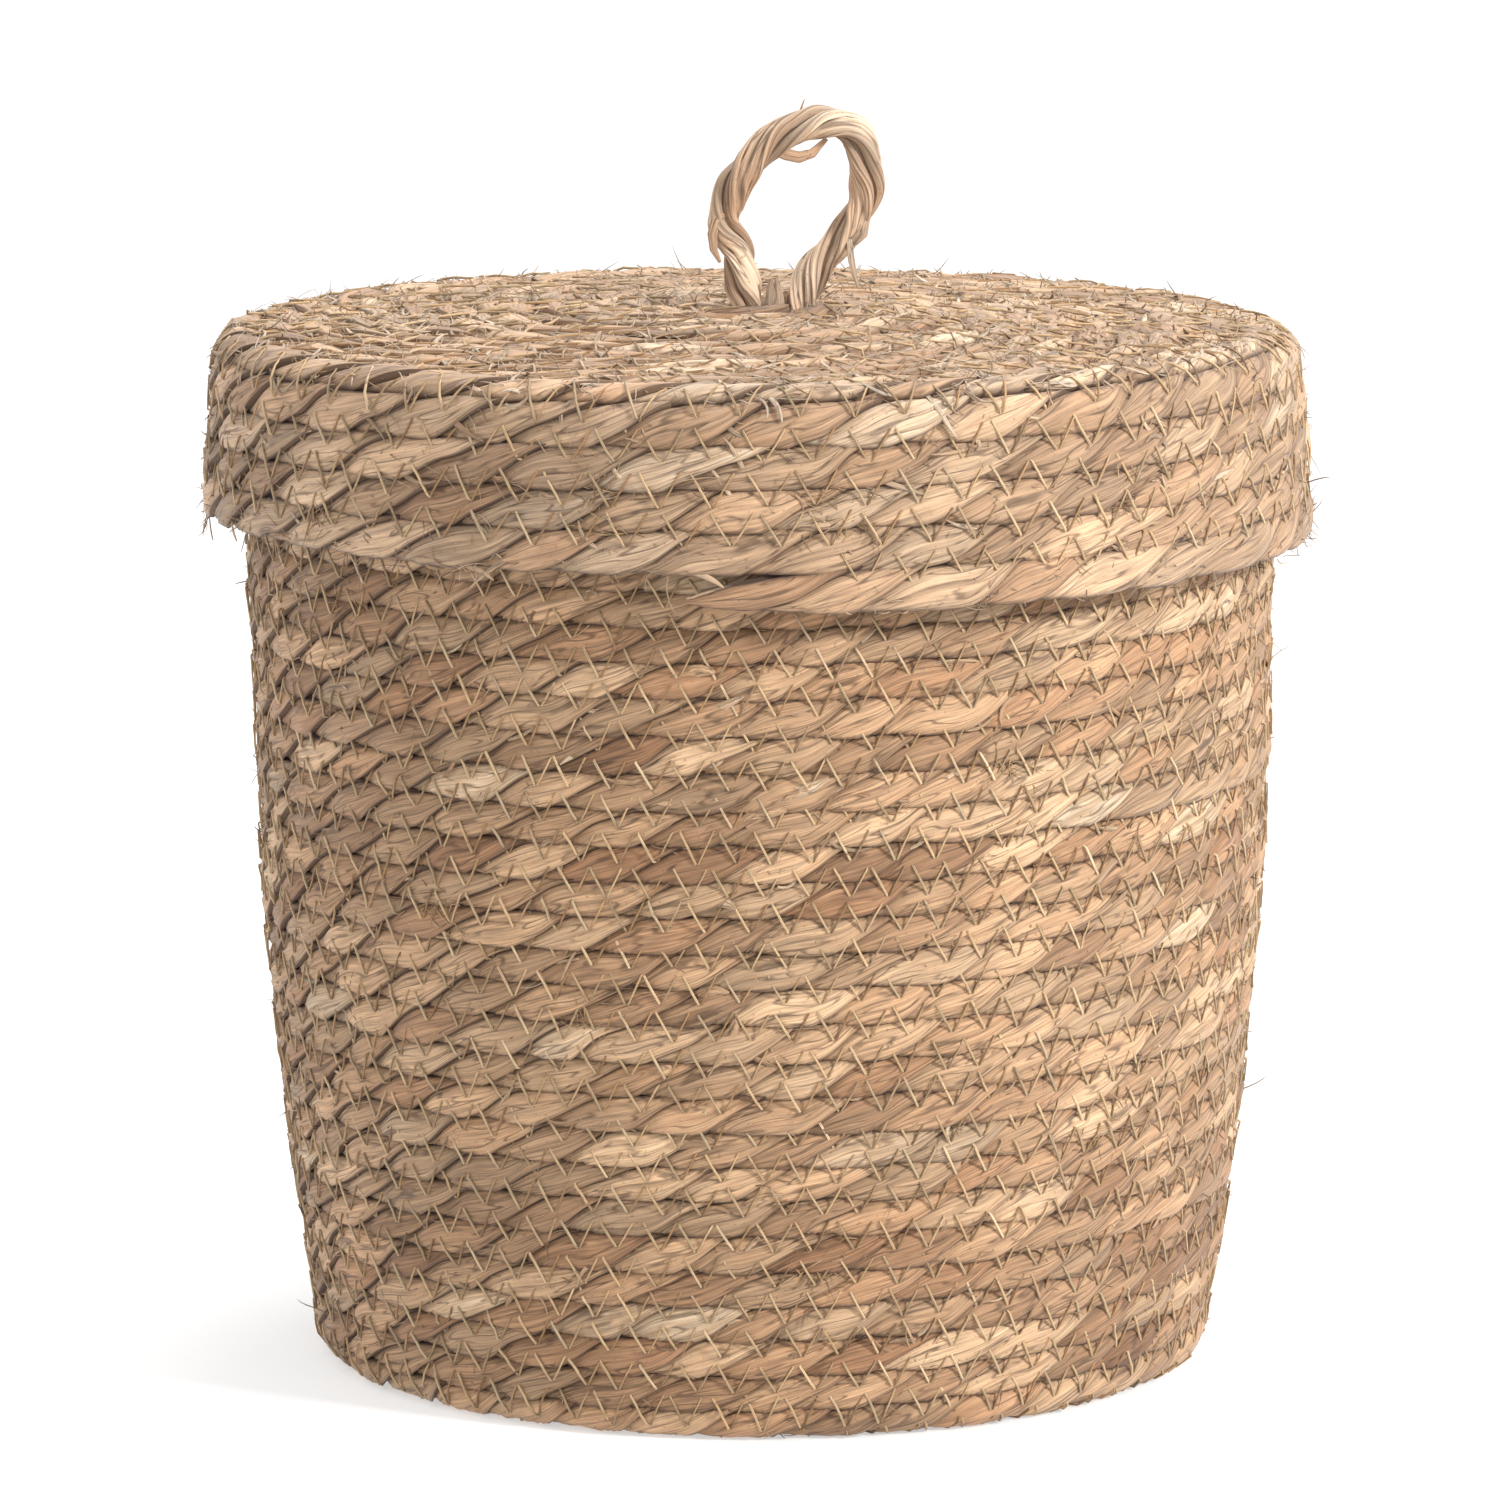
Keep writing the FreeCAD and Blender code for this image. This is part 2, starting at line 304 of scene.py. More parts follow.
# ---- meshes from rings ----
def mesh_object(name, verts, faces, bake, fibre, tints, lights, painted_shades):
    """A smooth mesh of four-sided faces with its two UV maps and per-point tint, lightness and painted shade.
    """
    mesh = bpy.data.meshes.new(name)
    mesh.vertices.add(len(verts))
    mesh.vertices.foreach_set("co", verts.astype(np.float32).ravel())
    mesh.loops.add(len(faces) * 4)
    mesh.loops.foreach_set("vertex_index", faces.astype(np.int32).ravel())
    mesh.polygons.add(len(faces))
    mesh.polygons.foreach_set("loop_start", np.arange(0, len(faces) * 4, 4, dtype=np.int32))
    mesh.polygons.foreach_set("use_smooth", np.ones(len(faces), bool))
    mesh.update(calc_edges=True)
    for layer, data in (("OFBake", bake), ("Fibre", fibre)):
        mesh.uv_layers.new(name=layer).data.foreach_set("uv", data.astype(np.float32).ravel())
    for attribute, data in (("tint", tints), ("light", lights), ("painted_shade", painted_shades)):
        mesh.attributes.new(attribute, "FLOAT", "POINT").data.foreach_set("value", data.astype(np.float32))
    obj = bpy.data.objects.new(name, mesh)
    bpy.context.collection.objects.link(obj)
    return obj


def corners(low_u, high_u, low_v, high_v):
    """The four UV corners of each face, going round it."""
    ends = ((low_u, low_v), (low_u, high_v), (high_u, high_v), (high_u, low_v))
    return np.stack([np.stack(np.broadcast_arrays(*end), -1) for end in ends], 2)


def tube_mesh(name, tubes):
    """One mesh from tubes, each a grid of rings, with strip UVs and per-point looks, painted shade among
    them.
    """
    verts, faces, uv_bake, uv_fibre, tints, lights, painted_shades = [], [], [], [], [], [], []
    total = sum(len(t["rings"]) for t in tubes)
    round_tube = [np.linalg.norm(np.diff(t["rings"][:50], axis=1), axis=2).sum(1).mean() for t in tubes]
    perimeter = np.mean(round_tube)
    length = sum(np.linalg.norm(np.diff(t["rings"][:, 0], axis=0), axis=1).sum() for t in tubes)
    rows = max(1, int(math.ceil(math.sqrt(length / max(perimeter, 1e-6)))))
    per_row = int(math.ceil(total / rows))
    rows = int(math.ceil(total / per_row)) + len(tubes)
    base, row = 0, 0
    for t in tubes:
        rings = t["rings"]
        m, k = rings.shape[:2]
        i = np.arange(m - 1)[:, None]
        j = np.arange(k)[None, :]
        a = i * k + j
        b = i * k + (j + 1) % k
        c = (i + 1) * k + (j + 1) % k
        d = (i + 1) * k + j
        faces.append(np.stack([a, b, c, d], -1).reshape(-1, 4) + base)
        u0 = (i % per_row) / per_row
        u1 = (i % per_row + 1) / per_row
        v0 = (row + i // per_row + 0.02 + 0.94 * j / k) / rows
        v1 = (row + i // per_row + 0.02 + 0.94 * (j + 1) / k) / rows
        uv_bake.append(corners(u0, u1, v0, v1).reshape(-1, 2))
        row += int(math.ceil((m - 1) / per_row))
        along = t["s"]
        fibre = corners(along[:-1][:, None], along[1:][:, None], j / k, (j + 1) / k)
        uv_fibre.append(fibre.reshape(-1, 2))
        verts.append(rings.reshape(-1, 3))
        tints.append(np.repeat(t["tint"], k))
        lights.append(np.repeat(t["light"], k))
        painted_shades.append(t["painted_shade"].ravel() if "painted_shade" in t else np.zeros(m * k))
        base += m * k
    bake = np.concatenate(uv_bake)
    bake[:, 1] /= max(1.0, bake[:, 1].max() + 0.001)
    return mesh_object(name, np.concatenate(verts), np.concatenate(faces), bake, np.concatenate(uv_fibre),
                       np.concatenate(tints), np.concatenate(lights), np.concatenate(painted_shades))


# ---- materials ----
def node(tree, kind, x, y, **values):
    n = tree.nodes.new(kind)
    n.location = (x, y)
    for key, value in values.items():
        setattr(n, key, value)
    return n


def ramp(tree, x, y, stops):
    n = node(tree, "ShaderNodeValToRGB", x, y)
    elements = n.color_ramp.elements
    while len(elements) < len(stops):
        elements.new(0.5)
    for e, (at, colour) in zip(elements, stops):
        e.position = at
        e.color = (*colour, 1)
    return n


def srgb(r, g, b):
    """Linear colour from 0-255 values as seen."""
    return tuple(((c / 255 + 0.055) / 1.055) ** 2.4 if c > 10 else c / 255 / 12.92 for c in (r, g, b))


# painted shade: how strongly shaded places are coloured, and the dark brown they go towards
PAINTED_SHADE_DEPTH = 0.95
PAINTED_SHADE_COLOUR = srgb(54, 30, 14)
SPECK_COLOUR = srgb(116, 84, 52)


def stretched_noise(tree, fibre, x, y, cells, detail, roughness=0.5, shift=(0, 0, 0)):
    """Noise drawn out along the leaf: cells in a metre along it, and cells round it."""
    stretch = node(tree, "ShaderNodeMapping", x, y)
    stretch.inputs["Scale"].default_value = (*cells, 1)
    stretch.inputs["Location"].default_value = shift
    noise = node(tree, "ShaderNodeTexNoise", x + 200, y)
    noise.inputs["Scale"].default_value = 1.0
    noise.inputs["Detail"].default_value = detail
    noise.inputs["Roughness"].default_value = roughness
    tree.links.new(fibre, stretch.inputs[0])
    tree.links.new(stretch.outputs[0], noise.inputs["Vector"])
    return noise.outputs[0]


def remap(tree, value, x, y, low, high, to_low=0.0, to_high=1.0):
    """A value from low to high becomes one from to_low to to_high."""
    n = node(tree, "ShaderNodeMapRange", x, y)
    for name, number in (("From Min", low), ("From Max", high), ("To Min", to_low), ("To Max", to_high)):
        n.inputs[name].default_value = number
    tree.links.new(value, n.inputs[0])
    return n.outputs[0]


def maths(tree, operation, x, y, *values):
    """One arithmetic node; each value is a number or another node's output."""
    n = node(tree, "ShaderNodeMath", x, y, operation=operation)
    for socket, value in zip(n.inputs, values):
        if isinstance(value, (int, float)):
            socket.default_value = value
        else:
            tree.links.new(value, socket)
    return n.outputs[0]


def attribute(tree, name, x, y):
    return node(tree, "ShaderNodeAttribute", x, y, attribute_name=name).outputs["Fac"]


def towards(tree, share, base, colour, x, y):
    """The base colour mixed towards a fixed one."""
    n = node(tree, "ShaderNodeMix", x, y, data_type="RGBA")
    n.inputs[7].default_value = (*colour, 1)
    tree.links.new(share, n.inputs[0])
    tree.links.new(base, n.inputs[6])
    return n.outputs[2]


def specks(tree):
    """Small brown flecks, one every few millimetres."""
    coords = node(tree, "ShaderNodeTexCoord", -1200, -400)
    noise = node(tree, "ShaderNodeTexNoise", -800, -450)
    noise.inputs["Scale"].default_value = 620
    noise.inputs["Detail"].default_value = 2
    tree.links.new(coords.outputs["Object"], noise.inputs["Vector"])
    shown = remap(tree, noise.outputs[0], -600, -450, 0.66, 0.72)
    return maths(tree, "MULTIPLY", 100, -200, shown, 0.45)


def creases(tree, fibre, patch):
    """Painted shade: thin dark lines along the leaf where it is creased, broken off here and there."""
    run = stretched_noise(tree, fibre, -1000, -950, (30, 6), 1, shift=(3, 7, 0))
    both_ways = maths(tree, "ABSOLUTE", -450, -950, maths(tree, "SUBTRACT", -600, -950, run, 0.5))
    line = remap(tree, both_ways, -300, -950, 0.008, 0.034, 0.66, 0.0)
    return maths(tree, "MULTIPLY", -100, -1000, line, remap(tree, patch, -300, -1150, 0.36, 0.54))


def straw(name, stops):
    """Dry leaf: streaks along the fibre, a tint for each folded piece, specks, and painted shade in creases,
    seams and where leaves overlap.
    """
    mat = bpy.data.materials.new(name)
    mat.use_nodes = True
    tree = mat.node_tree
    tree.nodes.clear()
    link = tree.links.new
    out = node(tree, "ShaderNodeOutputMaterial", 1400, 0)
    bsdf = node(tree, "ShaderNodeBsdfPrincipled", 1100, 0)
    link(bsdf.outputs[0], out.inputs[0])
    fibre = node(tree, "ShaderNodeUVMap", -1200, 0, uv_map="Fibre").outputs[0]
    fine = stretched_noise(tree, fibre, -1000, 0, (28, 15), 5, 0.65)
    patch = stretched_noise(tree, fibre, -1000, -200, (60, 7), 2)
    hair = stretched_noise(tree, fibre, -1000, -700, (34, 34), 4, 0.7)
    grain = maths(tree, "MULTIPLY_ADD", -640, -60, hair, 0.55, maths(tree, "MULTIPLY", -640, 60, fine, 0.45))

    tint = maths(tree, "MULTIPLY_ADD", -500, 350, attribute(tree, "tint", -1200, 300), 0.85, -0.20)
    colours = ramp(tree, -300, 200, stops)
    link(maths(tree, "MULTIPLY_ADD", -500, 200, patch, 0.38, tint), colours.inputs[0])
    streak = remap(tree, grain, -500, 0, 0.36, 0.60, 0.36, 1.18)
    lobe = remap(tree, attribute(tree, "light", -1200, 500), -500, 550, 0, 1, 0.62, 1.06)
    shaded = node(tree, "ShaderNodeVectorMath", 0, 200, operation="SCALE")
    link(colours.outputs[0], shaded.inputs[0])
    link(maths(tree, "MULTIPLY", -250, 400, streak, lobe), shaded.inputs["Scale"])
    flecked = towards(tree, specks(tree), shaded.outputs[0], SPECK_COLOUR, 300, 200)
    # painted shade from the per-point attribute and the crease lines, mixed towards a dark brown
    painted_shade = attribute(tree, "painted_shade", 300, 500)
    shade_share = maths(tree, "MAXIMUM", 400, 650, painted_shade, creases(tree, fibre, patch))
    deep = maths(tree, "MULTIPLY", 500, 500, shade_share, PAINTED_SHADE_DEPTH)
    link(towards(tree, deep, flecked, PAINTED_SHADE_COLOUR, 700, 200), bsdf.inputs["Base Color"])

    link(remap(tree, fine, 300, -100, 0, 1, 0.52, 0.82), bsdf.inputs["Roughness"])
    bump = node(tree, "ShaderNodeBump", 700, -300)
    bump.inputs["Strength"].default_value = 0.9
    bump.inputs["Distance"].default_value = 0.0008
    link(grain, bump.inputs["Height"])
    link(bump.outputs[0], bsdf.inputs["Normal"])
    bsdf.inputs["Sheen Weight"].default_value = 0.12
    bsdf.inputs["Sheen Roughness"].default_value = 0.5
    bsdf.inputs["Specular IOR Level"].default_value = 0.35
    return mat


BODY_STOPS = [(0.0, srgb(150, 108, 76)), (0.25, srgb(182, 140, 104)), (0.5, srgb(200, 162, 125)),
              (0.72, srgb(212, 178, 142)), (0.88, srgb(230, 206, 174)), (1.0, srgb(216, 187, 144))]
LID_STOPS = [(0.0, srgb(162, 122, 90)), (0.25, srgb(190, 152, 118)), (0.5, srgb(205, 170, 136)),
             (0.72, srgb(216, 184, 151)), (0.88, srgb(232, 208, 180)), (1.0, srgb(218, 189, 148))]
MAT_STOPS = [(0.0, srgb(196, 164, 132)), (0.4, srgb(222, 196, 168)), (1.0, srgb(240, 222, 200))]
straw_body = straw("straw_body", BODY_STOPS)
straw_lid = straw("straw_lid", LID_STOPS)
straw_mat = straw("straw_mat", MAT_STOPS)
ROPE_STOPS = [(0.0, srgb(192, 150, 118)), (0.35, srgb(220, 184, 152)), (0.7, srgb(238, 208, 178)),
              (1.0, srgb(246, 224, 198))]
THREAD_STOPS = [(0.0, srgb(150, 106, 62)), (0.35, srgb(192, 148, 98)), (0.75, srgb(234, 200, 154)),
                (1.0, srgb(248, 226, 190))]
straw_rope = straw("straw_rope", ROPE_STOPS)
thread = straw("sewing_thread", THREAD_STOPS)


def finish_piece(obj, material, node_names, body_name):
    obj.data.materials.append(material)
    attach(obj, body_name)
    if node_names:
        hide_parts(*node_names)
    return obj


# ---- the two braids, one object per course ----
body_plait = Plait(BODY_PITCH, 0.092, 1)
lid_plait = Plait(LID_PITCH, 0.108, 60)


# one stretch of braid as an object; taper is the turn where its end has thinned out
def course(name, profile, plait, first, last, step, material, body_name, nodes, taper=None):
    rings = braid_rings(profile, plait, first, last, step, taper)
    return finish_piece(tube_mesh(name, rings), material, nodes, body_name)


quality = 1.0
course("floor_coil", body, body_plait, 0.3, FLOOR_TURNS, HIDDEN_STEP * quality, straw_body, "basket",
       ["base_coil"])
for i in range(1, WALL_COURSES + 1):
    end = BODY_TURNS if i == WALL_COURSES else None
    course("wall_braid_%02d" % i, body, body_plait, FLOOR_TURNS - 1 + i, FLOOR_TURNS + i,
           COURSE_STEP * quality, straw_body, "basket", ["wall_course_%02d" % i], end)
course("lid_coil_inner", lid, lid_plait, 0.35, 9, COURSE_STEP * quality, straw_lid, "lid",
       ["lid_top_coil"])
course("lid_coil_outer", lid, lid_plait, 9, LID_TURNS, COURSE_STEP * quality, straw_lid, "lid",
       [])
course("lid_shoulder", lid, lid_plait, LID_TURNS, LID_TURNS + 1, COURSE_STEP * quality, straw_lid, "lid",
       ["lid_shoulder_course"])
for i in range(1, SKIRT_COURSES + 1):
    end = LID_ALL_TURNS if i == SKIRT_COURSES else None
    course("lid_skirt_%d" % i, lid, lid_plait, LID_TURNS + i, LID_TURNS + 1 + i,
           COURSE_STEP * quality, straw_lid, "lid", ["lid_skirt_course_%d" % i], end)


# ---- many thin tubes in one mesh: thread, fibres, leaf ends ----
def many_tubes(name, paths, width, thick, sides, tint, facing=None):
    """One mesh of N tubes along paths (N, P, 3).  width and thick are (N, P) half sizes."""
    count, points = paths.shape[:2]
    along = np.gradient(paths, axis=1)
    along /= np.maximum(np.linalg.norm(along, axis=2, keepdims=True), 1e-12)
    if facing is None:
        facing = np.broadcast_to(np.array([0.0, 0.0, 1.0]), paths.shape)
    side = np.cross(along, facing)
    side /= np.maximum(np.linalg.norm(side, axis=2, keepdims=True), 1e-9)
    up = np.cross(side, along)
    angles = TAU * (np.arange(sides) + 0.5) / sides
    ring = (side[:, :, None] * np.cos(angles)[None, None, :, None] * width[:, :, None, None]
            + up[:, :, None] * np.sin(angles)[None, None, :, None] * thick[:, :, None, None])
    verts = (paths[:, :, None] + ring).reshape(-1, 3)
    i = np.arange(points - 1)[:, None]
    j = np.arange(sides)[None, :]
    k = (j + 1) % sides
    quad = np.stack([i * sides + j, i * sides + k, (i + 1) * sides + k, (i + 1) * sides + j], -1)
    faces = (quad.reshape(1, -1, 4) + (np.arange(count) * points * sides)[:, None, None]).reshape(-1, 4)
    grid = int(math.ceil(math.sqrt(count)))
    spans = points - 1
    local = corners(i / spans, (i + 1) / spans, j / sides, (j + 1) / sides).reshape(1, -1, 2)
    cell = np.stack([np.arange(count) % grid, np.arange(count) // grid], -1)[:, None]
    bake = ((cell + 0.04 + 0.92 * local) / grid).reshape(-1, 2)
    fibre = (local * (0.03, 1.0) + pick(np.arange(count), 9)[:, None, None] * (1, 0)).reshape(-1, 2)
    tints = np.repeat(tint, points * sides)
    lights = np.repeat(pick(np.arange(count), 4), points * sides)
    return mesh_object(name, verts, faces, bake, fibre, tints, lights, np.zeros(len(verts)))


def surface_height(profile, plait, turn, across):
    """Height of the braid's outer face over its middle surface."""
    way = profile.length_to(turn) * profile.spin
    at, side, out = plait.outline
    front = (at < 0.25) | (at > 0.75)
    order = np.argsort(side[front])
    across = np.clip(across, -plait.wide * 0.96, plait.wide * 0.96)
    w = np.interp(across, side[front][order], np.mod(at[front][order] + 0.5, 1) - 0.5)
    base, rise = plait.surface(w), np.zeros(np.shape(turn))
    for k in range(3):
        middle, half, _, _ = plait.strand(way, k)
        v = (np.mod(w - middle + 0.5, 1) - 0.5) / half
        rise = np.where(np.abs(v) < 1, np.maximum(rise, plait.height(v, way, k)), rise)
    return base[1] + base[3] * rise * (1 - EDGE_PRESS * np.abs(base[2]) ** 3)


def stitches(name, profile, plait, first, last, pitch, node_name, body_name):
    """Zigzag thread over the groove between each turn and the next."""
    turns = np.linspace(first, last, 4000)
    run = profile.length_to(turns)
    count = int((run[-1] - run[0]) / pitch)
    start = run[0] + pitch * (np.arange(count) + 0.12 * wave(np.arange(count), 0.7, 3))
    reach = plait.pitch * (0.44 + 0.06 * wave(np.arange(count), 0.8, 5))
    reach_low = plait.pitch * (0.43 + 0.07 * wave(np.arange(count), 0.9, 6))
    flip = profile.spin
    steps = np.array([1.0, 0.86, 0.25, -0.25, -0.86, -1.0])
    sink = np.array([-0.0011, 0.00035, 0.0004, 0.0004, 0.00035, -0.0011])
    legs = []
    for lead, gap, down in ((0.0, 0.44, True), (0.46, 0.42, False)):
        share = (1 - steps) / 2
        pos = start[:, None] + pitch * (lead + gap * share[None, :])
        turn = np.interp(pos, run, turns)
        d = steps[None, :] * (1 if down else -1)
        d = d * np.where(d > 0, reach[:, None], reach_low[:, None])
        upper = d > 0
        outer_turn = upper if flip > 0 else ~upper
        own = turn + outer_turn
        own_across = np.where(upper, -plait.pitch / 2, plait.pitch / 2) + d
        height = surface_height(profile, plait, own, own_across) + sink[None, :]
        middle = (height[:, 1] + height[:, 4]) / 2
        height[:, 2] = np.maximum(height[:, 2], middle)
        height[:, 3] = np.maximum(height[:, 3], middle)
        drift = (course_drift(turn) + course_drift(turn + 1)) / 2
        legs.append(profile.place(turn, plait.pitch / 2 + flip * d + drift, height, flip))
    number = np.arange(count)
    # the over leg is pale; the under leg's darker tint is painted shade
    over = (np.full((count, 6), 0.00060), 0.70 + 0.30 * pick(number, 2))
    under = (np.full((count, 6), 0.00046), 0.30 + 0.5 * pick(number, 3))
    order = (over, under) if flip > 0 else (under, over)
    paths = np.concatenate(legs)
    radius = np.concatenate([order[0][0], order[1][0]])
    radius[:, [0, 5]] *= 0.7
    tint = np.concatenate([order[0][1], order[1][1]])
    outward = paths * (1, 1, 0)
    outward = outward / np.maximum(np.linalg.norm(outward, axis=2, keepdims=True), 1e-9) + (0, 0, 1e-3)
    obj = many_tubes(name, paths, radius, radius * 0.8, 4, tint, outward)
    return finish_piece(obj, thread, [node_name], body_name)


stitches("wall_stitching", body, body_plait, FLOOR_TURNS - 0.5, BODY_TURNS - 1.02, 0.0142,
         "wall_thread", "basket")
stitches("floor_stitching", body, body_plait, 1.0, FLOOR_TURNS - 0.5, 0.016, "base_thread", "basket")
stitches("skirt_stitching", lid, lid_plait, LID_TURNS - 0.2, LID_ALL_TURNS - 1.03, 0.0178,
         "lid_skirt_thread", "lid")
stitches("lid_top_stitching", lid, lid_plait, 1.0, LID_TURNS - 0.2, 0.0178, "lid_top_thread", "lid")


# ---- rope handle: two twisted plies of folded leaf ----
PLY_WIDE = 0.0056
PLY_DEEP = 0.0030
PLY_OFFSET = 0.0027
ROPE_HALF_TWIST = 0.037


def smooth_path(points, count):
    """Even points along a smooth curve near the given ones."""
    points = np.array(points)
    fine = np.linspace(0, 1, count * 4)
    knots = np.concatenate([[2 * points[0] - points[1]], points, [2 * points[-1] - points[-2]]])
    seg = np.minimum((fine * (len(points) - 1)).astype(int), len(points) - 2)
    f = (fine * (len(points) - 1) - seg)[:, None]
    p0, p1, p2, p3 = (knots[seg + i] for i in range(4))
    out = 0.5 * (2 * p1 + (p2 - p0) * f + (2 * p0 - 5 * p1 + 4 * p2 - p3) * f ** 2
                 + (3 * p1 - p0 - 3 * p2 + p3) * f ** 3)
    gaps = np.linalg.norm(np.diff(out, axis=0), axis=1)
    run = np.concatenate([[0], np.cumsum(gaps)])
    marks = np.linspace(0, run[-1], count)
    return np.stack([np.interp(marks, run, out[:, i]) for i in range(3)], -1), marks


# middle line of the loop: mm to the right of the lid's centre, mm over the lid
LOOP_SHAPE = [(1, -12), (-2, -2), (-3.8, 7), (-4.8, 14), (-7.2, 28.7), (-12.6, 39.8), (-10, 50.4),
              (-5, 59.2), (3.6, 69.5), (13.5, 75.5), (27, 78.5), (37.8, 74), (41, 62.4), (41.3, 50.4),
              (37.4, 41.7), (30.6, 32.1), (22.8, 22.8), (17.2, 11.9), (14.5, 3), (13.5, -5), (13, -12)]


def plies(spine, run, first_turn, scale=1.0):
    """Two flat folded leaves twisted along a line, each with creases along its broad faces and painted shade
    in them.
    """
    tangent = np.gradient(spine, axis=0)
    tangent /= np.linalg.norm(tangent, axis=1, keepdims=True)
    out = np.tile((0.0, -1.0, 0.0), (len(spine), 1))
    side = np.cross(tangent, out)
    side /= np.maximum(np.linalg.norm(side, axis=1, keepdims=True), 1e-6)
    out = np.cross(side, tangent)
    around = (TAU * np.arange(60) / 60)[None, :]
    made = []
    for k in (0, 1):
        wound = math.pi * run / ROPE_HALF_TWIST + math.pi * k + first_turn
        turn = (wound + 0.55 * wave(run, 0.03, 7))[:, None]
        radial = side * np.cos(turn) + out * np.sin(turn)
        flat = -side * np.sin(turn) + out * np.cos(turn)
        wide = scale * PLY_WIDE * (1 + 0.16 * wave(run, 0.020, 20 + k) + 0.07 * wave(run, 0.006, 24 + k))
        deep = scale * PLY_DEEP * (1 + 0.22 * wave(run, 0.017, 26 + k))
        c, h = np.cos(around), np.sin(around)
        x = np.sign(c) * np.abs(c) ** 0.85 * wide[:, None]
        y = np.sign(h) * np.abs(h) ** 0.8 * deep[:, None]
        crease = np.zeros((len(run), 60))
        for i, start in enumerate((-0.6, -0.25, 0.1, 0.5)):
            at = start + 0.32 * wave(run, 0.035, 30 + 7 * k + i)[:, None]
            depth = np.clip(0.75 + 0.6 * wave(run, 0.028, 50 + 7 * k + i)[:, None], 0, 1)
            crease = np.maximum(crease, depth * np.exp(-((c - at) / 0.050) ** 2))
        grooves = np.sin(15 * c + 4 * wave(run, 0.03, 60 + k)[:, None]) * np.sign(h)
        y = y * (1 - 0.48 * crease) + 0.00022 * grooves
        y = y + 0.0007 * scale * wave(run, 0.0085, 64 + k)[:, None] * c
        middle = spine + scale * PLY_OFFSET * radial
        rings = middle[:, None] + flat[:, None] * x[:, :, None] + radial[:, None] * y[:, :, None]
        # painted shade: dark in the creases, on each ply's face turned towards the other ply and along its
        # folded edges
        dark = np.maximum(0.95 * crease ** 2, np.where(h < 0.1, 0.42, 0.95 * np.abs(c) ** 24))
        made.append({"rings": rings, "s": run + 3 * k, "tint": 0.60 + 0.35 * wave(run, 0.03, 50 + k),
                     "light": 0.65 + 0.35 * wave(run, 0.02, 55 + k), "painted_shade": dark})
    return made


def rope_handle():
    path = [(x / 1000, 0.0015 * math.sin(z / 20), lid_top + z / 1000) for x, z in LOOP_SHAPE]
    spine, run = smooth_path(path, 210)
    return tube_mesh("rope_loop", plies(spine, run, 0.9))


def attach_handle(obj, nodes):
    obj.data.materials.append(straw_rope)
    if nodes:
        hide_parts(*nodes)
    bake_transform(obj)


attach_handle(rope_handle(), ["handle_loop"])


def loose_leaves():
    """Torn ends on the rope: two stubs between the legs, a wisp, a flap, a spike and two side strips."""
    # each: points (x, y, z in mm over the lid), half width and half thickness in mm, tint
    pieces = [
        ([(7.5, -1, -4), (7.2, -2, 3), (6.8, -3, 9), (6.6, -3, 15), (6.2, -4, 19)], 3.2, 1.2, 0.8),
        ([(9.5, 0, -4), (9.6, 0, 3), (9.8, -1, 8), (10.4, -2, 12), (11.2, -4, 14)], 2.0, 0.6, 0.5),
        ([(35, -4, 34), (35.4, -6, 30), (36, -7, 26), (37, -8, 21), (38.4, -8, 16)], 1.1, 0.3, 0.95),
        ([(6, 0, 68), (11, 0, 66), (16, -1, 65), (21, -1, 66.5), (26.5, 0, 72)], 1.9, 0.35, 0.35),
        ([(15.5, 0, 79), (16, 0, 81), (16.6, 0, 83), (17.3, 0, 85), (18, 0, 87)], 0.35, 0.25, 0.1),
        ([(-13, -3, 44), (-15.5, -4, 41), (-17, -4, 36), (-16.5, -3, 30), (-14, -3, 25)], 1.6, 0.4, 0.4),
        ([(39, -2, 46), (41, -3, 41), (40, -4, 36), (37, -4, 33), (34, -3, 31)], 1.8, 0.5, 0.7),
    ]
    paths = np.array([[(x / 1000, y / 1000, lid_top + z / 1000) for x, y, z in p] for p, _, _, _ in pieces])
    fade = np.array([0.9, 1.0, 1.0, 0.8, 0.35])
    wide = np.array([w for _, w, _, _ in pieces])[:, None] / 1000 * 1.25 * fade
    thick = np.array([t for _, _, t, _ in pieces])[:, None] / 1000 * fade
    facing = np.broadcast_to(np.array([0.0, -1.0, 0.1]), paths.shape)
    return many_tubes("rope_ends", paths, wide, thick, 10, np.array([t for _, _, _, t in pieces]), facing)


attach_handle(loose_leaves(), [])


def rope_knot():
    """Overhand knot of the rope's ends under the lid."""
    t = np.linspace(0.35, TAU + 0.1, 9 * 4)
    knot_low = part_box("handle_knot")[0].z
    x = 0.0145 * (np.sin(t) + 2 * np.sin(2 * t)) / 2.6
    y = 0.0100 * (np.cos(t) - 2 * np.cos(2 * t)) / 2.6
    z = knot_low + 0.0068 + 0.0036 * np.sin(3 * t)
    spine, run = smooth_path(np.stack([x, y, z], -1), 150)
    return tube_mesh("rope_knot", plies(spine, run, 0.2, 0.72))


finish_piece(rope_knot(), straw_rope, ["handle_knot"], "lid")


